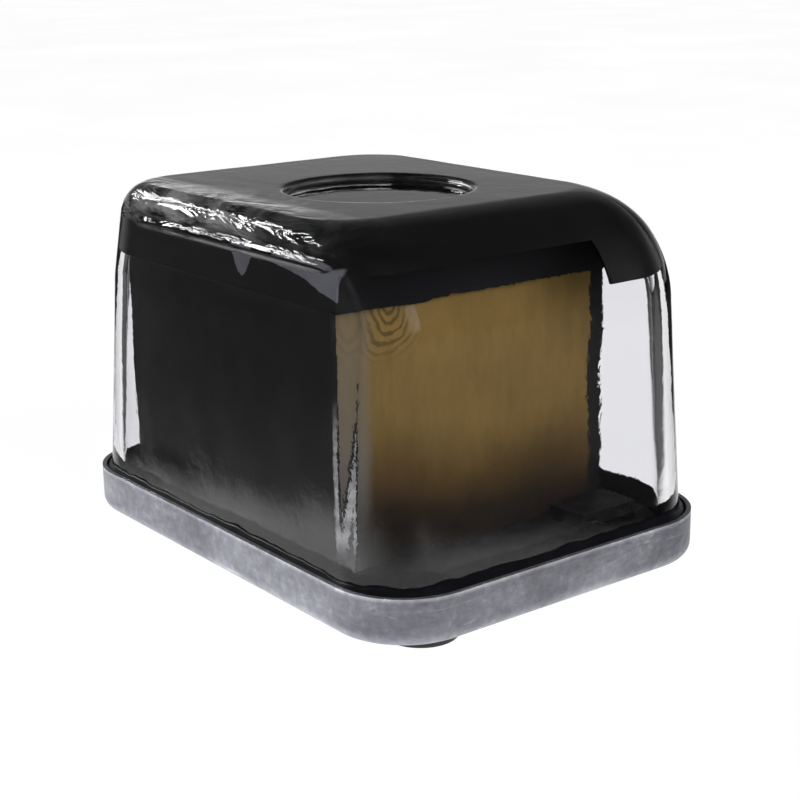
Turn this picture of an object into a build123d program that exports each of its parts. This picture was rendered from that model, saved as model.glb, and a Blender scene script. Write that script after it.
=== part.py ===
from build123d import *
import math
import os

os.makedirs("parts", exist_ok=True)

# A sealed box filter cartridge: glass bowl on a sheet steel pan, element inside, ports underneath.
# Millimetres. X runs along the long side, +X is the end with the sloping shoulder, Z is up.
# The feet of the port grommets stand on z = 0.

# Base pan
PAN_L = 111.2
PAN_W = 82.4
PAN_R = 15.2
SHEET = 0.9
PAN_Z = 4.0
RIM_H = 9.3
PAN_BEND = 2.7
PAN_HOLE_R = 4.6

# Glass bowl
FOOT_Z = 6.4
TOP_Z = 74.0
WALL = 4.2
FOOT_HX = 53.56
FOOT_HY = 40.09
TOP_HX = 49.37
TOP_HY = 35.35
FOOT_R = 14.3
TOP_R = 10.3
SHOULDER_X = 27.5
SHOULDER_Z = 54.6
REAR_LEAN = 0.23
EDGE_R = 3.6
EDGE_H = 6.5
DOME_STEPS = (0, 0.2, 0.38, 0.54, 0.67, 0.78, 0.87, 0.93, 0.97, 0.99, 1)
RIDGE_Z = 67.3
RIDGE_X0 = -31.5
RIDGE_X1 = 32.0
RIDGE_R = 0.9
DISC_R = 18.6
DISC_DEPTH = 1.8

# Element
EL_X0 = -36.5
EL_X1 = 29.8
PLATE_LEFT = -31.0
PLATE_RIGHT = 30.4
PLATE = 0.8
PLATE_X0 = -41.5
PACK_Y0 = -29.9
PACK_Y1 = 27.2
CARD = 1.2
EL_Z0 = 10.5
CARD_TOP = 60.5
PACK_TOP = 58.0
PACK_BOTTOM = 11.0
WEB_HALF = 0.6
PLEAT_PITCH = 3.7
PAPER = 0.42

# Sealant
SEAL_Z0 = 6.7
SEAL_Z1 = 12.7
SEAL_Z2 = 14.6

# Top cap
CAP_Z = 58.5
CAP_FRONT = 31.5
POCKET_TOP = 64.0
GAP = 0.1

# Black compound bonded to the inside of the dome
LINER = 0.5
LINER_Z = 59.0
LINER_FRONT_X = 33.0
LINER_FRONT_Y = 17.0
LINER_FRONT_Z = 65.5

# Bottom frame
FRAME_Z = 7.5
FRAME_HX = 48.2
FRAME_HY = 34.8

# Ports, towards the four corners
INLET_X = 36.0
DRAIN_X = 41.2
PORT_REAR = -40.2
PORT_Y = 23.0
PORT_BORE_R = 2.7
LIP_R = 7.1
LIP_ROUND = 0.4
UPPER_R = 6.0
UPPER_TOP = 7.2
NECK_R = PAN_HOLE_R
SEAT_Z = 4.6
OUTLET_TUBE_R = 2.9
VENT_TUBE_R = 2.5
VENT_BORE_R = 1.6
TUBE_WALL = 0.5
OUTLET_TOP = 62.0
VENT_TOP = 56.5
PLUG_HEAD = 1.6
PLUG_CLEAR = 0.05
PLUG_TOP = 7.8
SEAL_R = 4.2
SEAL_H = 1.5

# Leaf springs under the bottom frame
SPRING_X = 22.0
SPRING_W = 8.0
SPRING_HALF = 20.0
SPRING_T = 0.5


def save(shape, node):
    shape.label = node
    export_step(shape, "parts/" + node + ".step")


def plan(z, hx, hy, r):
    return Pos(0, 0, z) * RectangleRounded(2 * hx, 2 * hy, r)


def slab(z0, z1, hx, hy, r):
    return extrude(plan(z0, hx, hy, r), z1 - z0)


def box(x0, x1, y0, y1, z0, z1):
    centre = ((x0 + x1) / 2, (y0 + y1) / 2, (z0 + z1) / 2)
    return Pos(*centre) * Box(x1 - x0, y1 - y0, z1 - z0)


def rod(x, y, z0, z1, r):
    return Pos(x, y, (z0 + z1) / 2) * Cylinder(r, z1 - z0)


def side_half(z, foot, top):
    # Half width of the drafted bowl at height z.
    return foot + (top - foot) * (z - FOOT_Z) / (TOP_Z - FOOT_Z)


def rounded_in(z, straight, edge_r, edge_h, top):
    # A straight side that curves inwards by edge_r over the last edge_h below top.
    rise = max(0, z - (top - edge_h)) / edge_h
    return straight - edge_r * (1 - math.sqrt(max(0, 1 - rise * rise)))


def ring(z, inset):
    # The bowl's plan outline at height z, moved inwards by inset.
    top = TOP_Z - inset
    rise = max(0, z - SHOULDER_Z) / (top - SHOULDER_Z)
    low = side_half(SHOULDER_Z, FOOT_HX, TOP_HX) - inset
    if z < SHOULDER_Z:
        front = side_half(z, FOOT_HX, TOP_HX) - inset
        rear = front
    else:
        front = SHOULDER_X + (low - SHOULDER_X) * math.sqrt(max(0, 1 - rise * rise))
        rear = low - REAR_LEAN * (z - SHOULDER_Z)
    edge_r = EDGE_R - 0.5 * inset
    edge_h = EDGE_H - inset
    rear = rounded_in(z, rear, edge_r, edge_h, top)
    side = rounded_in(z, side_half(z, FOOT_HY, TOP_HY) - inset, edge_r, edge_h, top)
    radius = FOOT_R + (TOP_R - FOOT_R) * (z - FOOT_Z) / (TOP_Z - FOOT_Z) - inset
    centre = (front - rear) / 2
    return Pos(centre, 0, z) * RectangleRounded(front + rear, 2 * side, radius)


def dome(inset, z0):
    # The bowl's outer shape moved inwards by inset, closed at z0.
    top = TOP_Z - inset
    start = max(z0, SHOULDER_Z)
    upper = [ring(start + (top - start) * t, inset) for t in DOME_STEPS]
    body = loft(upper)
    if z0 < SHOULDER_Z:
        body += loft([ring(z0, inset), ring(SHOULDER_Z, inset)], ruled=True)
    return body


def bead(sign):
    # The small ridge along a long side, under the domed edge.
    y = sign * (side_half(RIDGE_Z, FOOT_HY, TOP_HY) - 0.35)
    centre = (RIDGE_X0 + RIDGE_X1) / 2
    bar = Pos(centre, y, RIDGE_Z) * Rot(0, 90, 0) * Cylinder(RIDGE_R, RIDGE_X1 - RIDGE_X0)
    for x in (RIDGE_X0, RIDGE_X1):
        bar += Pos(x, y, RIDGE_Z) * Sphere(RIDGE_R)
    return bar


def ring_slab(z0, z1, outer, inner):
    return slab(z0, z1, *outer) - slab(z0, z1, *inner)


def tube(x, y, z0, z1, r, wall):
    return rod(x, y, z0, z1, r) - rod(x, y, z0, z1, r - wall)


def grommet(x, y, z0, bore_r, seat_r):
    # Rubber port bush gripped in a pan hole; seat_r is the pocket for a tube from inside, if any.
    lip = rod(x, y, z0, PAN_Z, LIP_R)
    lip = fillet(lip.edges().group_by(Axis.Z)[0], LIP_ROUND)
    neck = rod(x, y, PAN_Z, PAN_Z + SHEET, NECK_R)
    upper = rod(x, y, PAN_Z + SHEET, UPPER_TOP, UPPER_R)
    upper = chamfer(upper.edges().group_by(Axis.Z)[-1], 0.6)
    body = lip + neck + upper - rod(x, y, z0, UPPER_TOP, bore_r)
    if seat_r:
        body -= rod(x, y, SEAT_Z, UPPER_TOP, seat_r)
    return body


def pleats(x0, x1):
    # One folded sheet: crests along Y, at the top and bottom in turn.
    half_t = PAPER / 2
    count = 2 * int((x1 - x0 - PAPER) / PLEAT_PITCH)
    step = (x1 - x0 - PAPER) / count
    notch = (PACK_TOP - PACK_BOTTOM) * half_t / step
    upper = []
    lower = []
    for i in range(count + 1):
        x = x0 + half_t + step * i
        low_crest = i % 2 == 0
        flat_z = PACK_BOTTOM if low_crest else PACK_TOP
        flat = [(x - half_t, flat_z), (x + half_t, flat_z)]
        inner = [(x, PACK_BOTTOM + notch if low_crest else PACK_TOP - notch)]
        if i == 0:
            upper.append(flat[0])
            lower.append(flat[1])
        elif i == count:
            upper.append(flat[1])
            lower.append(flat[0])
        elif low_crest:
            upper += inner
            lower += flat
        else:
            upper += flat
            lower += inner
    outline = Polyline(*upper, *reversed(lower), close=True)
    face = Pos(0, PACK_Y1, 0) * (Plane.XZ * make_face(outline))
    return extrude(face, PACK_Y1 - PACK_Y0)


def leaf_spring(x):
    low = PAN_Z + SHEET
    high = FRAME_Z
    ends = [(-SPRING_HALF, low), (0, high - SPRING_T), (SPRING_HALF, low)]
    tops = [(y, z + SPRING_T) for y, z in ends]
    edges = [
        ThreePointArc(*ends),
        Line(ends[2], tops[2]),
        ThreePointArc(*reversed(tops)),
        Line(tops[0], ends[0]),
    ]
    face = Plane.YZ * make_face(edges)
    return Pos(x, 0, 0) * extrude(face, SPRING_W / 2, both=True)


# Glass bowl
bowl = dome(0, FOOT_Z) + bead(-1) + bead(1) - dome(WALL, FOOT_Z)
bowl -= rod(0, 0, TOP_Z - DISC_DEPTH, TOP_Z + 1, DISC_R)
save(bowl, "glass_bowl")

# Base pan, pressed from sheet
outside = (PAN_L / 2, PAN_W / 2, PAN_R)
inside = (PAN_L / 2 - SHEET, PAN_W / 2 - SHEET, PAN_R - SHEET)
shell = slab(PAN_Z, PAN_Z + RIM_H, *outside)
shell = fillet(shell.edges().group_by(Axis.Z)[0], PAN_BEND)
core = slab(PAN_Z + SHEET, PAN_Z + RIM_H, *inside)
core = fillet(core.edges().group_by(Axis.Z)[0], PAN_BEND - SHEET)
pan = shell - core
rear_ports = [(PORT_REAR, -PORT_Y), (PORT_REAR, PORT_Y)]
front_ports = [(INLET_X, PORT_Y), (DRAIN_X, -PORT_Y)]
for x, y in rear_ports + front_ports:
    pan -= rod(x, y, PAN_Z, PAN_Z + SHEET, PAN_HOLE_R)
save(pan, "base_pan")

# Gasket under the glass foot, and the cured sealant between glass and rim
gasket_out = (inside[0] - 1.9, inside[1] - 1.9, inside[2] - 1.9)
gasket_in = (FOOT_HX - WALL + 0.1, FOOT_HY - WALL + 0.1, FOOT_R - WALL)
save(ring_slab(PAN_Z + SHEET, FOOT_Z, gasket_out, gasket_in), "bowl_gasket")

sealant = slab(SEAL_Z0, SEAL_Z1, *inside)
wedge_low = plan(SEAL_Z1, *inside)
wedge_high = plan(
    SEAL_Z2,
    side_half(SEAL_Z2, FOOT_HX, TOP_HX) + 0.2,
    side_half(SEAL_Z2, FOOT_HY, TOP_HY) + 0.2,
    FOOT_R,
)
sealant += loft([wedge_low, wedge_high], ruled=True)
sealant -= dome(0, FOOT_Z)
save(sealant, "rim_sealant")

# Ports
save(grommet(INLET_X, PORT_Y, 0, PORT_BORE_R, 0), "grommet_inlet")
save(grommet(PORT_REAR, -PORT_Y, 0, PORT_BORE_R, OUTLET_TUBE_R), "grommet_outlet")
save(grommet(PORT_REAR, PORT_Y, 0, VENT_BORE_R, VENT_TUBE_R), "grommet_vent")
save(grommet(DRAIN_X, -PORT_Y, PLUG_HEAD, PORT_BORE_R, 0), "grommet_drain")

# Drain plug: pushes up into the drain grommet
head = rod(DRAIN_X, -PORT_Y, 0, PLUG_HEAD, LIP_R)
head = fillet(head.edges().group_by(Axis.Z)[0], LIP_ROUND)
stem = rod(DRAIN_X, -PORT_Y, PLUG_HEAD, PLUG_TOP, PORT_BORE_R - PLUG_CLEAR)
stem = chamfer(stem.edges().group_by(Axis.Z)[-1], 0.5)
save(head + stem, "drain_plug")

# Tubes and the seal round the outlet tube
save(tube(PORT_REAR, -PORT_Y, SEAT_Z, OUTLET_TOP, OUTLET_TUBE_R, TUBE_WALL), "outlet_tube")
save(tube(PORT_REAR, PORT_Y, SEAT_Z, VENT_TOP, VENT_TUBE_R, TUBE_WALL), "vent_tube")
seal = rod(PORT_REAR, -PORT_Y, FRAME_Z, FRAME_Z + SEAL_H, SEAL_R)
seal -= rod(PORT_REAR, -PORT_Y, FRAME_Z, FRAME_Z + SEAL_H, OUTLET_TUBE_R)
save(seal, "outlet_seal")

# Bottom frame: carries the element, lets fuel up into the packs
frame = slab(FRAME_Z, EL_Z0, FRAME_HX, FRAME_HY, 9.5)
mid = (EL_X0 + EL_X1) / 2
for x0, x1 in ((EL_X0 + 3, mid - 2), (mid + 2, EL_X1 - 3)):
    for y0, y1 in ((-24, -2), (2, 24)):
        frame -= box(x0, x1, y0, y1, FRAME_Z, EL_Z0)
for x, y in front_ports:
    frame -= rod(x, y, FRAME_Z, EL_Z0, 5.0)
frame -= rod(PORT_REAR, -PORT_Y, FRAME_Z, EL_Z0, OUTLET_TUBE_R)
frame -= rod(PORT_REAR, -PORT_Y, FRAME_Z, FRAME_Z + SEAL_H, SEAL_R)
frame -= rod(PORT_REAR, PORT_Y, FRAME_Z, EL_Z0, VENT_TUBE_R)
save(frame, "bottom_frame")
save(leaf_spring(SPRING_X), "spring_front")
save(leaf_spring(-SPRING_X), "spring_rear")

# Hood over the inlet, so that fuel spreads along the bowl floor
hood = box(INLET_X - 4.5, INLET_X + 4.5, PORT_Y - 7, PORT_Y + 7, EL_Z0, EL_Z0 + 3)
hood -= box(INLET_X - 4.5, INLET_X + 4.5, PORT_Y - 6.2, PORT_Y + 6.2, EL_Z0, EL_Z0 + 2.2)
save(hood, "inlet_deflector")

# Element: plates and potting on the long sides, cards on the ends, folded paper between
left_in = PLATE_LEFT + PLATE
right_in = PLATE_RIGHT - PLATE
save(box(PLATE_X0, EL_X1, PLATE_LEFT, left_in, EL_Z0, CAP_Z), "side_plate_left")
save(box(PLATE_X0, EL_X1, right_in, PLATE_RIGHT, EL_Z0, CAP_Z), "side_plate_right")
save(box(EL_X0, EL_X1, left_in, PACK_Y0, EL_Z0, CAP_Z), "potting_left")
save(box(EL_X0, EL_X1, PACK_Y1, right_in, EL_Z0, CAP_Z), "potting_right")
save(box(EL_X1 - CARD, EL_X1, PACK_Y0, PACK_Y1, EL_Z0, CARD_TOP), "end_panel_front")
save(box(EL_X0, EL_X0 + CARD, PACK_Y0, PACK_Y1, EL_Z0, CARD_TOP), "end_panel_rear")
save(box(mid - WEB_HALF, mid + WEB_HALF, PACK_Y0, PACK_Y1, EL_Z0, PACK_TOP), "centre_web")
save(pleats(mid + WEB_HALF + GAP, EL_X1 - CARD - GAP), "pleat_pack_front")
save(pleats(EL_X0 + CARD + GAP, mid - WEB_HALF - GAP), "pleat_pack_rear")

# Top cap: closes the element's clean side and feeds the outlet tube
cap = dome(WALL + LINER + GAP, CAP_Z) & box(-60, CAP_FRONT, -60, 60, CAP_Z, TOP_Z)
cap -= box(EL_X0 - GAP, EL_X1 + GAP, PACK_Y0 - GAP, PACK_Y1 + GAP, CAP_Z, POCKET_TOP)
cap -= rod(PORT_REAR, -PORT_Y, CAP_Z, OUTLET_TOP + 1, OUTLET_TUBE_R)
cap -= box(PORT_REAR, EL_X0, -PORT_Y - 1.5, -PORT_Y + 1.5, CARD_TOP + GAP, OUTLET_TOP + 1)
save(cap, "top_cap")

# The compound that beds the cap in the dome; it stops higher at the front end
liner = dome(WALL, LINER_Z) - dome(WALL + LINER, LINER_Z)
liner -= box(LINER_FRONT_X, 60, -60, LINER_FRONT_Y, LINER_Z, LINER_FRONT_Z)
save(liner, "dome_liner")
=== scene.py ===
import math

import bpy
from mathutils import Matrix, Vector, noise


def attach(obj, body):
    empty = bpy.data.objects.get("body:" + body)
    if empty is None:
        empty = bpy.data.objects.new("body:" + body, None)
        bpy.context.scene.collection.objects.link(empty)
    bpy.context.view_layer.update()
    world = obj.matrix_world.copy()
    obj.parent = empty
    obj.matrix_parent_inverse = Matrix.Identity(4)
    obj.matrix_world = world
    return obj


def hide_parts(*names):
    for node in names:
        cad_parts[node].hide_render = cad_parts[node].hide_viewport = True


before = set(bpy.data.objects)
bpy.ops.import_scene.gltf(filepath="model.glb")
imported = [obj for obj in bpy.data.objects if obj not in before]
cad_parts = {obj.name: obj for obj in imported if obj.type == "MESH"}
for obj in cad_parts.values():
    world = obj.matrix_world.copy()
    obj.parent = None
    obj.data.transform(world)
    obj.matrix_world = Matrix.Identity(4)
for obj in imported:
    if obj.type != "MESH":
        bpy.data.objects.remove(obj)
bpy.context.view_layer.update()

MM = 0.001

# Shape of the bowl, in millimetres, as the design has it
FOOT_Z = 6.4
TOP_Z = 74.0
WALL = 4.2
FOOT_HX = 53.56
FOOT_HY = 40.09
TOP_HX = 49.37
TOP_HY = 35.35
FOOT_R = 14.3
TOP_R = 10.3
SHOULDER_X = 27.5
SHOULDER_Z = 54.6
REAR_LEAN = 0.23
EDGE_R = 3.6
EDGE_H = 6.5
DISC_R = 18.6
DISC_DEPTH = 1.8
DISC_ROUND = 0.9
RIDGE_Z = 67.3
RIDGE_X0 = -31.5
RIDGE_X1 = 32.0
RIDGE_RISE = 0.75
RIDGE_HALF = 0.9
LINER_Z = 59.0

# The pan's outline, and the bead of sealant inside its rim
PAN_L = 111.2
PAN_W = 82.4
PAN_R = 15.2
SHEET = 0.9
BEAD_FOOT = 6.8
BEAD_RIM = 12.3
BEAD_BACK = 8
BEAD_GAP = 0.02

# Mesh density: points in a corner, across an end and along a side; rings up the straight part,
# up the dome and round the edge of the recess
CORNER_STEPS = 24
SIDE_STEPS = (26, 36)
STRAIGHT_STEPS = 24
DOME_STEPS = 44
ROUND_STEPS = 5


def smooth(a, b, x):
    """0 at a, 1 at b, smooth between."""
    t = min(1.0, max(0.0, (x - a) / (b - a)))
    return t * t * (3 - 2 * t)


def side_half(z, foot, top):
    """Half width at height z of the drafted sides."""
    return foot + (top - foot) * (z - FOOT_Z) / (TOP_Z - FOOT_Z)


def rounded_in(z, straight, edge_r, edge_h, top):
    """A face drawn in by the rounding of the top edge."""
    rise = max(0, z - (top - edge_h)) / edge_h
    return straight - edge_r * (1 - math.sqrt(max(0, 1 - rise * rise)))


def outline(x0, x1, hy, r):
    """Points round a rounded rectangle, anticlockwise from the +X side, always the same count."""
    pts = []
    corners = [
        (x1 - r, hy - r, 0),
        (x0 + r, hy - r, 90),
        (x0 + r, -hy + r, 180),
        (x1 - r, -hy + r, 270),
    ]
    for k, (cx, cy, start) in enumerate(corners):
        for i in range(CORNER_STEPS + 1):
            a = math.radians(start + 90 * i / CORNER_STEPS)
            pts.append((cx + r * math.cos(a), cy + r * math.sin(a)))
        nx, ny, nstart = corners[(k + 1) % 4]
        a = math.radians(nstart)
        end = (nx + r * math.cos(a), ny + r * math.sin(a))
        here = pts[-1]
        steps = SIDE_STEPS[(k + 1) % 2]
        for i in range(1, steps):
            t = i / steps
            pts.append((here[0] + (end[0] - here[0]) * t, here[1] + (end[1] - here[1]) * t))
    return pts


def bowl_ring(z, inset):
    """The bowl's outline at height z; inset is 0 for the outer face and the wall for the inner one."""
    top = TOP_Z - inset
    rise = max(0, z - SHOULDER_Z) / (top - SHOULDER_Z)
    low = side_half(SHOULDER_Z, FOOT_HX, TOP_HX) - inset
    if z < SHOULDER_Z:
        front = side_half(z, FOOT_HX, TOP_HX) - inset
        rear = front
    else:
        front = SHOULDER_X + (low - SHOULDER_X) * math.sqrt(max(0, 1 - rise * rise))
        rear = low - REAR_LEAN * (z - SHOULDER_Z)
    edge_r = EDGE_R - 0.5 * inset
    edge_h = EDGE_H - inset
    rear = rounded_in(z, rear, edge_r, edge_h, top)
    side = rounded_in(z, side_half(z, FOOT_HY, TOP_HY) - inset, edge_r, edge_h, top)
    radius = FOOT_R + (TOP_R - FOOT_R) * (z - FOOT_Z) / (TOP_Z - FOOT_Z) - inset
    return [(x, y, z) for x, y in outline(-rear, front, side, radius)]


def build(name, rings, closed_start=False, closed_end=False, loop=False):
    """A mesh from a stack of equal rings; the ends are filled, or the stack joins up into a loop."""
    n = len(rings[0])
    verts = [tuple(c * MM for c in p) for ring in rings for p in ring]
    faces = []
    count = len(rings)
    for j in range(count if loop else count - 1):
        a = j * n
        b = ((j + 1) % count) * n
        for i in range(n):
            k = (i + 1) % n
            faces.append((a + i, a + k, b + k, b + i))
    if closed_start:
        faces.append(tuple(reversed(range(n))))
    if closed_end:
        faces.append(tuple(range((count - 1) * n, count * n)))
    mesh = bpy.data.meshes.new(name)
    mesh.from_pydata(verts, [], faces)
    mesh.validate()
    for p in mesh.polygons:
        p.use_smooth = True
    ob = bpy.data.objects.new(name, mesh)
    bpy.context.scene.collection.objects.link(ob)
    return ob


def to_disc(ring, radius, z, share):
    """A ring part of the way from an outline to a circle of the given radius."""
    out = []
    for x, y, _ in ring:
        d = math.hypot(x, y)
        cx, cy = x / d * radius, y / d * radius
        out.append((x + (cx - x) * share, y + (cy - y) * share, z))
    return out


def circle(ring, radius, z):
    return to_disc(ring, radius, z, 1)


def levels(inset):
    """Heights of the rings, closer together towards the top of the dome."""
    top = TOP_Z - inset
    straight = [FOOT_Z + (SHOULDER_Z - FOOT_Z) * i / STRAIGHT_STEPS for i in range(STRAIGHT_STEPS)]
    turns = [math.pi / 2 * i / DOME_STEPS for i in range(DOME_STEPS + 1)]
    return straight + [SHOULDER_Z + (top - SHOULDER_Z) * math.sin(a) for a in turns]


def bowl():
    """The glass as one closed shell, and how many of its points, the first ones, are on the inner face."""
    outer = [bowl_ring(z, 0) for z in levels(0)]
    rim = outer[-1]
    for share in (0.03, 0.08, 0.2, 0.35, 0.5, 0.65, 0.8, 0.9, 0.96):
        outer.append(to_disc(rim, DISC_R + DISC_ROUND, TOP_Z, share))
    # Over the edge of the recess, then out onto its floor
    quarter = [math.pi / 2 * i / ROUND_STEPS for i in range(ROUND_STEPS + 1)]
    for a in quarter:
        radius = DISC_R + DISC_ROUND * (1 - math.sin(a))
        outer.append(circle(rim, radius, TOP_Z - DISC_ROUND * (1 - math.cos(a))))
    for a in quarter[1:]:
        radius = DISC_R - DISC_ROUND * (1 - math.cos(a))
        outer.append(circle(rim, radius, TOP_Z - DISC_DEPTH + DISC_ROUND * (1 - math.sin(a))))
    for r in (16.5, 14, 11, 8, 5, 2.5, 1.0, 0.15):
        outer.append(circle(rim, r, TOP_Z - DISC_DEPTH))
    inner = [bowl_ring(z, WALL) for z in levels(WALL)]
    top = inner[-1]
    for share in (0.04, 0.12, 0.3, 0.5, 0.7, 0.85, 0.95, 0.998):
        inner.append(to_disc(top, 0.1, TOP_Z - WALL, share))
    ob = build("glass_bowl_clear", list(reversed(inner)) + outer, closed_start=True, closed_end=True)
    return ob, len(inner) * len(top)


def ripple(p, scale, seed):
    """Smooth noise, about -1 to 1, whose waves are about scale millimetres long."""
    return noise.noise(Vector((p.x / scale + seed, p.y / scale - seed, p.z / scale + 2 * seed)))


def outer_lift(p):
    """How far the outer face moves along its normal: waves, and the ridge on both long sides."""
    on_top = p.z > TOP_Z - 0.01
    in_recess = math.hypot(p.x, p.y) < DISC_R + 1.2 and p.z > 60
    if on_top or in_recess:
        return 0.02 * (ripple(p, 12, 5.0) - 0.8)
    wave = 0.07 * ripple(p, 22, 3.0) + 0.02 * ripple(p, 6, 9.0)
    on_long = smooth(RIDGE_X0 - 2, RIDGE_X0, p.x) * (1 - smooth(RIDGE_X1, RIDGE_X1 + 2, p.x))
    on_long *= 1.0 if abs(p.y) > 30 else 0.0
    return wave + RIDGE_RISE * on_long * math.exp(-(((p.z - RIDGE_Z) / RIDGE_HALF) ** 2))


def inner_lift(p):
    """The same for the inner face: wavy where it is bare, even where the compound is bonded to it."""
    bonded = smooth(LINER_Z - 9, LINER_Z + 0.5, p.z)
    front_corner = smooth(30, 38, p.x) * (1 - smooth(-30, -20, p.y))
    wave = 0.12 * ripple(p, 14, 21.0) + 0.04 * ripple(p, 4, 33.0)
    return wave * (1 - bonded) * (1 - 0.85 * front_corner) + 0.25 * bonded


glass, inner_verts = bowl()
normals = [v.normal.copy() for v in glass.data.vertices]
for i, v in enumerate(glass.data.vertices):
    p = v.co / MM
    lift = inner_lift(p) if i < inner_verts else outer_lift(p)
    v.co += normals[i] * (lift * smooth(FOOT_Z, FOOT_Z + 6, p.z) * MM)
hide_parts("glass_bowl")
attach(glass, "cartridge")


def ring_at(x_half, y_half, r, z, wobble, seed):
    """A plan outline at height z, whose height wanders by wobble."""
    pts = []
    for x, y in outline(-x_half, x_half, y_half, r):
        coarse = noise.noise(Vector((x / 7 + seed, y / 7, seed)))
        fine = noise.noise(Vector((x / 2, y / 2, seed)))
        pts.append((x, y, z + wobble * (coarse + 0.5 * fine)))
    return pts


def sealant_fillet():
    """The hand-run bead of sealant: level at the rim, uneven where it climbs the glass."""
    rim_x, rim_y, rim_r = PAN_L / 2 - SHEET, PAN_W / 2 - SHEET, PAN_R - SHEET
    rings = [ring_at(rim_x, rim_y, rim_r, BEAD_FOOT, 0, 1)]
    rings.append(ring_at(rim_x, rim_y, rim_r, BEAD_RIM, 0.25, 5))
    # From the rim to the glass: share of the way, height, wobble
    for share, z, wobble in ((0.25, 12.9, 0.3), (0.5, 13.3, 0.35), (0.75, 13.8, 0.5), (1.0, 14.5, 0.7)):
        x_half = rim_x + (side_half(z, FOOT_HX, TOP_HX) - BEAD_GAP - rim_x) * share
        y_half = rim_y + (side_half(z, FOOT_HY, TOP_HY) - BEAD_GAP - rim_y) * share
        rings.append(ring_at(x_half, y_half, rim_r - 0.6 * share, z, wobble, 9))
    back_x = side_half(BEAD_BACK, FOOT_HX, TOP_HX)
    back_y = side_half(BEAD_BACK, FOOT_HY, TOP_HY)
    rings.append(ring_at(back_x, back_y, FOOT_R, BEAD_FOOT, 0, 1))
    return build("sealant_fillet", rings, loop=True)


sealant = sealant_fillet()
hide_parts("rim_sealant")
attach(sealant, "cartridge")


# Materials; their lengths and places are in metres

def new_material(name):
    mat = bpy.data.materials.new(name)
    mat.use_nodes = True
    tree = mat.node_tree
    bsdf = tree.nodes["Principled BSDF"]
    return mat, tree, bsdf


def mapping(tree, scale=(1, 1, 1), rot=(0, 0, 0)):
    coord = tree.nodes.new("ShaderNodeTexCoord")
    m = tree.nodes.new("ShaderNodeMapping")
    m.inputs["Scale"].default_value = scale
    m.inputs["Rotation"].default_value = rot
    tree.links.new(coord.outputs["Object"], m.inputs["Vector"])
    return m


def noise_tex(tree, vec, scale, detail=3.0, rough=0.55, distort=0.0):
    n = tree.nodes.new("ShaderNodeTexNoise")
    n.inputs["Scale"].default_value = scale
    n.inputs["Detail"].default_value = detail
    n.inputs["Roughness"].default_value = rough
    n.inputs["Distortion"].default_value = distort
    tree.links.new(vec.outputs["Vector"], n.inputs["Vector"])
    return n


def ramp(tree, fac, stops):
    r = tree.nodes.new("ShaderNodeValToRGB")
    els = r.color_ramp.elements
    while len(els) < len(stops):
        els.new(0.5)
    for e, (pos, col) in zip(els, stops):
        e.position = pos
        e.color = (*col, 1)
    tree.links.new(fac, r.inputs["Fac"])
    return r


def bump(tree, height, strength, distance, into):
    b = tree.nodes.new("ShaderNodeBump")
    b.inputs["Strength"].default_value = strength
    b.inputs["Distance"].default_value = distance
    tree.links.new(height, b.inputs["Height"])
    tree.links.new(b.outputs["Normal"], into)


def grey(v):
    return (v, v, v)


def axis_value(t, axis, space="Object"):
    coord = t.nodes.new("ShaderNodeTexCoord")
    sep = t.nodes.new("ShaderNodeSeparateXYZ")
    t.links.new(coord.outputs[space], sep.inputs["Vector"])
    return sep.outputs[axis]


def math_node(t, op, a, b=None):
    n = t.nodes.new("ShaderNodeMath")
    n.operation = op
    for k, v in enumerate((a, b)):
        if v is None:
            continue
        if isinstance(v, (int, float)):
            n.inputs[k].default_value = v
        else:
            t.links.new(v, n.inputs[k])
    return n.outputs["Value"]


def span(t, value, lo, hi):
    """0 at lo, 1 at hi, smooth between."""
    n = t.nodes.new("ShaderNodeMapRange")
    n.interpolation_type = "SMOOTHSTEP"
    n.inputs["From Min"].default_value = lo
    n.inputs["From Max"].default_value = hi
    t.links.new(value, n.inputs["Value"])
    return n.outputs["Result"]


def fall(t, value, lo, hi):
    """1 at lo, 0 at hi, smooth between."""
    return math_node(t, "SUBTRACT", 1.0, span(t, value, lo, hi))


def total(t, first, *more):
    for value in more:
        first = math_node(t, "ADD", first, value)
    return first


def product(t, first, *more):
    for value in more:
        first = math_node(t, "MULTIPLY", first, value)
    return first


def multiply_color(t, a, b):
    mix = t.nodes.new("ShaderNodeMix")
    mix.data_type = "RGBA"
    mix.blend_type = "MULTIPLY"
    mix.inputs["Factor"].default_value = 1.0
    t.links.new(a, mix.inputs["A"])
    t.links.new(b, mix.inputs["B"])
    return mix.outputs["Result"]


def mix_color(t, fac, a, b):
    mix = t.nodes.new("ShaderNodeMix")
    mix.data_type = "RGBA"
    t.links.new(fac, mix.inputs["Factor"])
    t.links.new(a, mix.inputs["A"])
    t.links.new(b, mix.inputs["B"])
    return mix.outputs["Result"]


FLOW_DEPTH = 26.0


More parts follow.
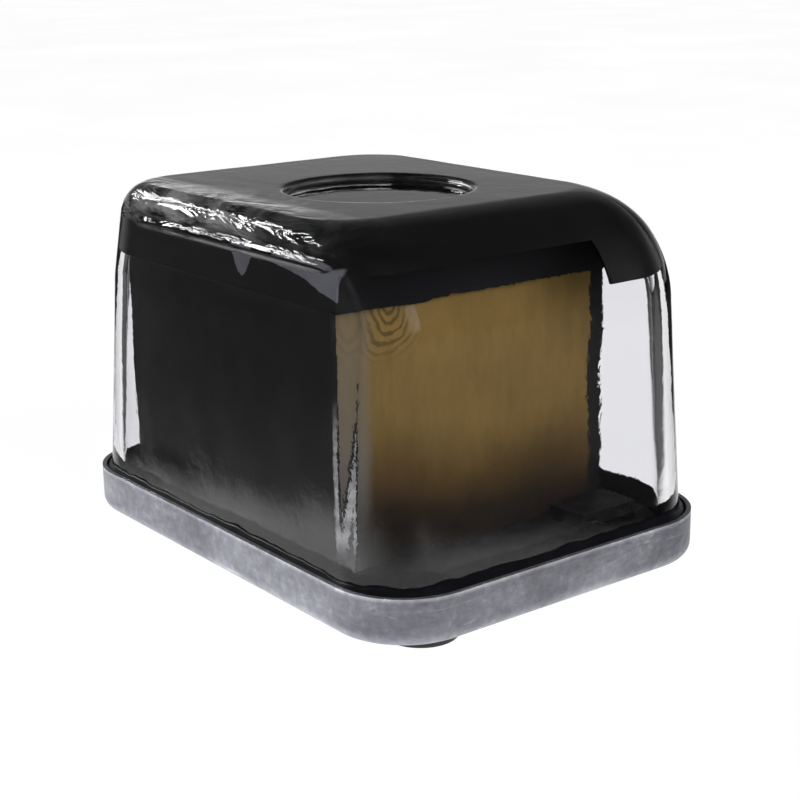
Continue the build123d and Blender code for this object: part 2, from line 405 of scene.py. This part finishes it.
def glass_material(name, mirror):
    """Clear glass; mirror is the strength of its head-on reflection."""
    mat, t, b = new_material(name)
    b.inputs["Specular Tint"].default_value = (mirror, mirror, mirror, 1)
    b.inputs["Base Color"].default_value = (0.92, 0.92, 0.94, 1)
    b.inputs["Transmission Weight"].default_value = 1.0
    b.inputs["IOR"].default_value = 1.5
    vec = mapping(t)
    fine = noise_tex(t, vec, 900, 2.0, 0.5)
    rough = ramp(t, fine.outputs["Fac"], [(0.3, grey(0.005)), (0.75, grey(0.03))])
    t.links.new(rough.outputs["Color"], b.inputs["Roughness"])
    chill = noise_tex(t, vec, 260, 3.0, 0.6, 0.6)
    # Deep flow marks along the domed edge of the near side, towards the rear
    flow = noise_tex(t, mapping(t, (70, 150, 320), (0.0, 0.3, 0.2)), 1.0, 3.0, 0.55, 1.2)
    rear = fall(t, axis_value(t, "X"), 0.016, 0.034)
    near = fall(t, axis_value(t, "Y"), -0.033, -0.024)
    high = span(t, axis_value(t, "Z"), 0.0655, 0.069)
    mask = product(t, rear, near, high)
    marks = product(t, flow.outputs["Fac"], mask, FLOW_DEPTH)
    bump(t, total(t, chill.outputs["Fac"], marks), 0.10, 0.0004, b.inputs["Normal"])
    return mat


def black_plastic(name, tone, rough_lo, rough_hi, scale):
    """Black plastic, rubber or sealant with a faint cool cast and a grain of the given scale."""
    mat, t, b = new_material(name)
    vec = mapping(t)
    n = noise_tex(t, vec, scale, 4.0)
    cool = (0.95 * tone, 0.97 * tone, 1.3 * tone)
    deep = tuple(0.7 * c for c in cool)
    pale = tuple(1.3 * c for c in cool)
    col = ramp(t, n.outputs["Fac"], [(0.3, deep), (0.7, pale)])
    t.links.new(col.outputs["Color"], b.inputs["Base Color"])
    r = ramp(t, n.outputs["Fac"], [(0.3, grey(rough_lo)), (0.7, grey(rough_hi))])
    t.links.new(r.outputs["Color"], b.inputs["Roughness"])
    bump(t, n.outputs["Fac"], 0.15, 0.0002, b.inputs["Normal"])
    return mat


def paper_material():
    """Resin-soaked amber card, with painted shade on its lower part and a painted highlight along its near
    edge.
    """
    mat, t, b = new_material("resin_card")
    vec = mapping(t)
    fibre = noise_tex(t, mapping(t, (1, 1, 0.25)), 420, 5.0, 0.65)
    blotch = noise_tex(t, vec, 38, 3.0)
    col = ramp(t, fibre.outputs["Fac"], [(0.25, (0.35, 0.215, 0.055)), (0.75, (0.47, 0.30, 0.088))])
    tint = ramp(t, blotch.outputs["Fac"], [(0.3, (0.78, 0.77, 0.72)), (0.7, (1.05, 1.03, 1.0))])
    base = multiply_color(t, col.outputs["Color"], tint.outputs["Color"])
    # Painted shade: the lower part is darkened, most at the near side, standing in for the light falling
    # off inside the bowl
    z = axis_value(t, "Z")
    y = axis_value(t, "Y")
    wander = product(t, blotch.outputs["Fac"], 0.008)
    left_low = product(t, fall(t, y, -0.03, 0.0), -0.006)
    height = total(t, z, wander, left_low)
    painted_shade_tones = [
        (0.0, (0.014, 0.013, 0.012)),
        (0.2, (0.09, 0.075, 0.055)),
        (0.5, (0.46, 0.42, 0.36)),
        (0.9, grey(1.0)),
    ]
    painted_shade = ramp(t, span(t, height, 0.010, 0.044), painted_shade_tones)
    dark = multiply_color(t, base, painted_shade.outputs["Color"])
    # Swirled resin lines near the top of the near side
    wave = t.nodes.new("ShaderNodeTexWave")
    wave.wave_type = "RINGS"
    wave.inputs["Scale"].default_value = 190
    wave.inputs["Distortion"].default_value = 8.0
    wave.inputs["Detail"].default_value = 2.0
    wave.inputs["Detail Scale"].default_value = 0.6
    shift = t.nodes.new("ShaderNodeMapping")
    shift.inputs["Location"].default_value = (0, 0.021, -0.0585)
    t.links.new(t.nodes.new("ShaderNodeTexCoord").outputs["Object"], shift.inputs["Vector"])
    t.links.new(shift.outputs["Vector"], wave.inputs["Vector"])
    lines = ramp(t, wave.outputs["Fac"], [(0.2, grey(0.55)), (0.6, grey(1.15))])
    place = product(t, fall(t, y, -0.020, -0.010), span(t, z, 0.048, 0.053))
    dark = mix_color(t, place, dark, multiply_color(t, dark, lines.outputs["Color"]))
    # Painted highlight: a paler strip along the near edge, for a soft light's reflection in the glass
    # corner; it darkens towards the bottom with the painted shade
    highlight_strip = fall(t, y, -0.0285, -0.0245)
    highlight_strip_tones = [
        (0.0, grey(0.03)),
        (0.014, grey(0.12)),
        (0.03, (0.30, 0.27, 0.22)),
        (0.055, (0.36, 0.28, 0.16)),
    ]
    highlight_strip_tone = ramp(t, z, highlight_strip_tones)
    dark = mix_color(t, product(t, highlight_strip, 0.8), dark, highlight_strip_tone.outputs["Color"])
    t.links.new(dark, b.inputs["Base Color"])
    rough = ramp(t, fibre.outputs["Fac"], [(0.3, grey(0.65)), (0.7, grey(0.8))])
    t.links.new(rough.outputs["Color"], b.inputs["Roughness"])
    bump(t, fibre.outputs["Fac"], 0.3, 0.0003, b.inputs["Normal"])
    return mat


# The pale patches painted on the liner as reflections
PATCH_TOP = 0.0662
PATCH_SOFT = 0.0002
TOOTH_X = 0.0032
TOOTH_HALF = 0.003
TOOTH_RISE = 0.004
TOOTH_Z = 0.0612
WEDGE_X0 = 0.013
WEDGE_SLOPE = 0.26


def liner_material():
    """Black compound; towards the rear of the near top edge, grey streaks are painted on as reflections of
    the lights in the wavy glass.
    """
    mat, t, b = new_material("dome_compound")
    x = axis_value(t, "X")
    y = axis_value(t, "Y")
    z = axis_value(t, "Z")
    grain = noise_tex(t, mapping(t), 160, 4.0)
    black = ramp(t, grain.outputs["Fac"], [(0.3, grey(0.003)), (0.7, grey(0.007))])
    # Painted reflections: pale grey streaks towards the rear of the near top edge
    streak = noise_tex(t, mapping(t, (38, 90, 230), (0.0, 0.5, 0.35)), 1.0, 4.0, 0.6, 1.6)
    streaks = ramp(t, streak.outputs["Fac"], [(0.40, grey(0.006)), (0.48, grey(0.22)), (0.62, grey(0.9))])
    rear = fall(t, x, -0.010, 0.036)
    near = fall(t, y, -0.031, -0.012)
    high = span(t, z, 0.0662, 0.0680)
    mask = product(t, rear, near, high)
    col = mix_color(t, mask, black.outputs["Color"], streaks.outputs["Color"])
    # Two pale patches painted under the ridge as reflections; their edges are ragged
    ragged = noise_tex(t, mapping(t), 300, 2.0)
    wob = product(t, math_node(t, "SUBTRACT", ragged.outputs["Fac"], 0.5), 0.0016)
    depth = total(t, z, wob)
    # The first is a tooth with a parabola for its lower edge
    across = math_node(t, "DIVIDE", math_node(t, "SUBTRACT", x, TOOTH_X), TOOTH_HALF)
    tooth = math_node(t, "POWER", math_node(t, "ABSOLUTE", across), 2.0)
    tooth_edge = total(t, product(t, tooth, TOOTH_RISE), TOOTH_Z)
    first = span(t, math_node(t, "SUBTRACT", depth, tooth_edge), 0.0, PATCH_SOFT)
    # The second is a wedge that grows deeper towards the front
    slope = product(t, math_node(t, "SUBTRACT", x, WEDGE_X0), WEDGE_SLOPE)
    second = span(t, total(t, math_node(t, "SUBTRACT", depth, PATCH_TOP), slope), 0.0, PATCH_SOFT)
    second = product(t, second, span(t, x, WEDGE_X0, 0.0135))
    second = product(t, second, fall(t, x, 0.0335, 0.0345))
    side = fall(t, y, -0.031, -0.0305)
    under = fall(t, z, PATCH_TOP, 0.0666)
    pale = product(t, math_node(t, "MAXIMUM", first, second), side, under)
    reflection_patch_tone = ramp(t, grain.outputs["Fac"], [(0.3, (0.40, 0.40, 0.47)), (0.7, (0.48, 0.48, 0.55))])
    col = mix_color(t, pale, col, reflection_patch_tone.outputs["Color"])
    t.links.new(col, b.inputs["Base Color"])
    rough = ramp(t, grain.outputs["Fac"], [(0.3, grey(0.4)), (0.7, grey(0.55))])
    t.links.new(rough.outputs["Color"], b.inputs["Roughness"])
    bump(t, streak.outputs["Fac"], 0.3, 0.0003, b.inputs["Normal"])
    return mat


def steel_material(name, tone, rough):
    """Bare metal with fine lines across its height."""
    mat, t, b = new_material(name)
    b.inputs["Metallic"].default_value = 1.0
    vec = mapping(t)
    big = noise_tex(t, vec, 30, 4.0)
    streak = noise_tex(t, mapping(t, (60, 60, 900)), 1.0, 4.0)
    col = ramp(t, big.outputs["Fac"], [(0.3, tuple(c * 0.9 for c in tone)), (0.7, tone)])
    t.links.new(col.outputs["Color"], b.inputs["Base Color"])
    r = ramp(t, streak.outputs["Fac"], [(0.3, grey(rough * 0.85)), (0.7, grey(rough * 1.2))])
    t.links.new(r.outputs["Color"], b.inputs["Roughness"])
    bump(t, streak.outputs["Fac"], 0.08, 0.0002, b.inputs["Normal"])
    return mat


def pan_material():
    """Zinc-plated sheet: cloudy, smudged, scratched, with shallow dents; painted highlights on the rim and
    lower bend, painted shade at the shoulder end.
    """
    mat, t, b = new_material("pan_zinc")
    vec = mapping(t)
    cloud = noise_tex(t, mapping(t, (1, 1, 2.2)), 34, 6.0, 0.62, 0.4)
    speck = noise_tex(t, vec, 620, 3.0, 0.6)
    wear = noise_tex(t, mapping(t, (1, 1, 5), (0.25, 0.1, 0)), 55, 4.0, 0.7, 1.0)
    base = ramp(
        t,
        cloud.outputs["Fac"],
        [(0.28, (0.22, 0.225, 0.26)), (0.5, (0.33, 0.335, 0.375)), (0.72, (0.45, 0.46, 0.505))],
    )
    fleck = ramp(t, speck.outputs["Fac"], [(0.35, grey(0.8)), (0.6, grey(1.0)), (0.74, grey(1.25))])
    scuff_tones = [(0.0, grey(1.0)), (0.62, grey(1.0)), (0.68, grey(1.5)), (0.72, grey(1.0))]
    scuff = ramp(t, wear.outputs["Fac"], scuff_tones)
    col = multiply_color(t, base.outputs["Color"], fleck.outputs["Color"])
    col = multiply_color(t, col, scuff.outputs["Color"])
    # Painted highlights: the rim and the lower bend are brighter
    z = axis_value(t, "Z")
    edge = span(t, z, 0.01235, 0.0133)
    bend = fall(t, z, 0.0046, 0.0068)
    painted_highlights = total(t, product(t, edge, 0.9), product(t, bend, 0.35))
    # Painted shade: the shoulder end is darker
    shoulder_shade = product(t, span(t, axis_value(t, "X"), 0.030, 0.054), -0.48)
    lift = total(t, painted_highlights, shoulder_shade, 1.2)
    mult = t.nodes.new("ShaderNodeVectorMath")
    mult.operation = "SCALE"
    t.links.new(col, mult.inputs[0])
    t.links.new(lift, mult.inputs["Scale"])
    t.links.new(mult.outputs["Vector"], b.inputs["Base Color"])
    b.inputs["Metallic"].default_value = 0.85
    rough = ramp(t, cloud.outputs["Fac"], [(0.3, grey(0.55)), (0.7, grey(0.40))])
    t.links.new(rough.outputs["Color"], b.inputs["Roughness"])
    dents = total(t, product(t, cloud.outputs["Fac"], 4.0), product(t, speck.outputs["Fac"], 0.25))
    bump(t, dents, 0.35, 0.0004, b.inputs["Normal"])
    return mat


def plate_material():
    """Matt black plate with a painted highlight along its front end."""
    mat = black_plastic("plate_black", 0.004, 0.45, 0.6, 90)
    t = mat.node_tree
    b = t.nodes["Principled BSDF"]
    old = b.inputs["Base Color"].links[0].from_socket
    # Painted highlight: a thin pale line on the outer face of the plate's front end
    n = noise_tex(t, mapping(t), 400, 2.0)
    bare = ramp(t, n.outputs["Fac"], [(0.3, grey(0.35)), (0.6, grey(0.95))])
    z = axis_value(t, "Z")
    height = product(t, span(t, z, 0.012, 0.018), fall(t, z, 0.032, 0.044))
    edge = product(t, span(t, axis_value(t, "X"), 0.0294, 0.0298), height)
    outer = fall(t, axis_value(t, "Y"), -0.0304, -0.0302)
    edge = product(t, edge, outer)
    t.links.new(mix_color(t, edge, old, bare.outputs["Color"]), b.inputs["Base Color"])
    return mat


glass_mat = glass_material("clear_pressed_glass", 0.9)
inner_glass_mat = glass_material("clear_glass_inside", 0.15)
cap_mat = black_plastic("cap_black", 0.006, 0.35, 0.5, 120)
plate_mat = plate_material()
frame_mat = black_plastic("frame_black", 0.008, 0.4, 0.6, 200)
rubber_mat = black_plastic("rubber_black", 0.015, 0.55, 0.75, 500)
sealant_mat = black_plastic("sealant_black", 0.008, 0.3, 0.5, 150)
plug_mat = black_plastic("plug_black", 0.012, 0.35, 0.5, 400)
card_mat = paper_material()
liner_mat = liner_material()
pan_mat = pan_material()
tube_mat = steel_material("tube_steel", (0.6, 0.6, 0.6), 0.3)

by_node = {
    "base_pan": pan_mat,
    "bowl_gasket": rubber_mat,
    "grommet_inlet": rubber_mat,
    "grommet_outlet": rubber_mat,
    "grommet_vent": rubber_mat,
    "grommet_drain": rubber_mat,
    "drain_plug": plug_mat,
    "outlet_tube": tube_mat,
    "vent_tube": tube_mat,
    "outlet_seal": rubber_mat,
    "bottom_frame": frame_mat,
    "spring_front": tube_mat,
    "spring_rear": tube_mat,
    "inlet_deflector": frame_mat,
    "side_plate_left": plate_mat,
    "side_plate_right": plate_mat,
    "potting_left": plate_mat,
    "potting_right": plate_mat,
    "end_panel_front": card_mat,
    "end_panel_rear": card_mat,
    "centre_web": card_mat,
    "pleat_pack_front": card_mat,
    "pleat_pack_rear": card_mat,
    "top_cap": cap_mat,
    "dome_liner": liner_mat,
}
for name, mat in by_node.items():
    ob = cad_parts[name]
    for s in ob.material_slots:
        s.material = mat
    if not ob.material_slots:
        ob.data.materials.append(mat)
glass.data.materials.append(glass_mat)
glass.data.materials.append(inner_glass_mat)
for face in glass.data.polygons:
    if max(face.vertices) < inner_verts:
        face.material_index = 1
sealant.data.materials.append(sealant_mat)


# Studio: a pale sweep that runs away behind the part; the room beside and above it is dark.
# The sweep is laid out from CAM_X, CAM_Y, where the camera stands in plan, along VIEW, where it looks.

CAM_X = 0.2505
CAM_Y = -0.1931
VIEW = (-0.7921, 0.6104)
ROOM = 0.006
SWEEP_EDGE = 0.266
SWEEP_SOFT = 0.035
SWEEP_START = (0.15, 0.205)
GLOW = 1.03


def along_view(t, x, y):
    return total(t, product(t, x, VIEW[0]), product(t, y, VIEW[1]))


def floor_material():
    """A glowing pale sweep that widens with distance, dark beside it; clear when seen from below."""
    mat, t, b = new_material("floor_pale")
    dx = math_node(t, "SUBTRACT", axis_value(t, "X"), CAM_X)
    dy = math_node(t, "SUBTRACT", axis_value(t, "Y"), CAM_Y)
    ahead = along_view(t, dx, dy)
    aside = math_node(t, "SUBTRACT", product(t, dx, VIEW[1]), product(t, dy, VIEW[0]))
    over = math_node(t, "SUBTRACT", math_node(t, "ABSOLUTE", aside), product(t, ahead, SWEEP_EDGE))
    shade = math_node(t, "MAXIMUM", span(t, over, 0.0, SWEEP_SOFT), fall(t, ahead, *SWEEP_START))
    tone = noise_tex(t, mapping(t), 6, 3.0)
    pale = ramp(t, tone.outputs["Fac"], [(0.3, grey(0.93)), (0.7, grey(0.97))])
    dark = ramp(t, tone.outputs["Fac"], [(0.3, grey(ROOM * 0.95)), (0.7, grey(ROOM))])
    lit = mix_color(t, shade, pale.outputs["Color"], dark.outputs["Color"])
    t.links.new(lit, b.inputs["Emission Color"])
    b.inputs["Emission Strength"].default_value = GLOW
    low = ramp(t, tone.outputs["Fac"], [(0.3, grey(0.12)), (0.7, grey(0.13))])
    t.links.new(low.outputs["Color"], b.inputs["Base Color"])
    b.inputs["Roughness"].default_value = 0.8
    b.inputs["Specular IOR Level"].default_value = 0.0
    clear = t.nodes.new("ShaderNodeBsdfTransparent")
    geometry = t.nodes.new("ShaderNodeNewGeometry")
    pick = t.nodes.new("ShaderNodeMixShader")
    t.links.new(geometry.outputs["Backfacing"], pick.inputs["Fac"])
    t.links.new(b.outputs["BSDF"], pick.inputs[1])
    t.links.new(clear.outputs["BSDF"], pick.inputs[2])
    t.links.new(pick.outputs["Shader"], t.nodes["Material Output"].inputs["Surface"])
    return mat


bpy.ops.mesh.primitive_plane_add(size=8, location=(0, 0, 0))
floor = bpy.context.object
floor.name = "floor"
floor.data.materials.append(floor_material())

# The sky is bright only low down behind the part
world = bpy.data.worlds.new("studio")
bpy.context.scene.world = world
world.use_nodes = True
wt = world.node_tree
behind = along_view(wt, axis_value(wt, "X", "Generated"), axis_value(wt, "Y", "Generated"))
rear = span(wt, behind, 0.25, 0.75)
low_tones = [(0.0, grey(1.0)), (0.1, grey(0.4)), (0.27, grey(0.13)), (0.55, grey(0.02))]
low = ramp(wt, axis_value(wt, "Z", "Generated"), low_tones)
sky = ramp(wt, product(wt, rear, low.outputs["Color"]), [(0.0, grey(0.005)), (1.0, grey(0.98))])
wt.links.new(sky.outputs["Color"], wt.nodes["Background"].inputs["Color"])
wt.nodes["Background"].inputs["Strength"].default_value = 1.0


def area_light(name, pos, target, size, size_y, power):
    data = bpy.data.lights.new(name, "AREA")
    data.shape = "RECTANGLE"
    data.size = size
    data.size_y = size_y
    data.energy = power
    ob = bpy.data.objects.new(name, data)
    bpy.context.scene.collection.objects.link(ob)
    ob.location = pos
    aim = Vector(target) - Vector(pos)
    ob.rotation_mode = "QUATERNION"
    ob.rotation_quaternion = aim.to_track_quat("-Z", "Y")
    return ob


key = area_light("key", (0.78, 0.02, 0.50), (0, 0, 0.03), 0.45, 0.45, 6.0)
key.visible_glossy = False
area_light("left", (-0.70, -0.34, 0.36), (0, 0, 0.06), 0.42, 0.07, 1.5)


# Camera: distances in metres, angles from -Y round to +X and up from the floor

LENS = 73.47
SENSOR = 36
DIST = 0.3289
AZ = math.radians(52.382)
EL = math.radians(15.95)
ROLL = math.radians(-0.702)
LOOK_Z = 0.041885
OFF_X = 0.00379
OFF_Y = -0.01093

back = Vector((math.sin(AZ) * math.cos(EL), -math.cos(AZ) * math.cos(EL), math.sin(EL)))
right = Vector((math.cos(AZ), math.sin(AZ), 0))
up = back.cross(right)
# The same two axes after the roll
r2 = right * math.cos(ROLL) + up * math.sin(ROLL)
u2 = up * math.cos(ROLL) - right * math.sin(ROLL)
cam_data = bpy.data.cameras.new("camera")
cam_data.lens = LENS
cam_data.sensor_width = SENSOR
cam_data.clip_start = 0.01
cam = bpy.data.objects.new("camera", cam_data)
bpy.context.scene.collection.objects.link(cam)
rot = Matrix((r2, u2, back)).transposed()
place = back * DIST + r2 * OFF_X + u2 * OFF_Y + Vector((0, 0, LOOK_Z))
cam.matrix_world = Matrix.Translation(place) @ rot.to_4x4()
bpy.context.scene.camera = cam
bpy.context.scene.view_settings.view_transform = "Standard"

bpy.context.view_layer.update()
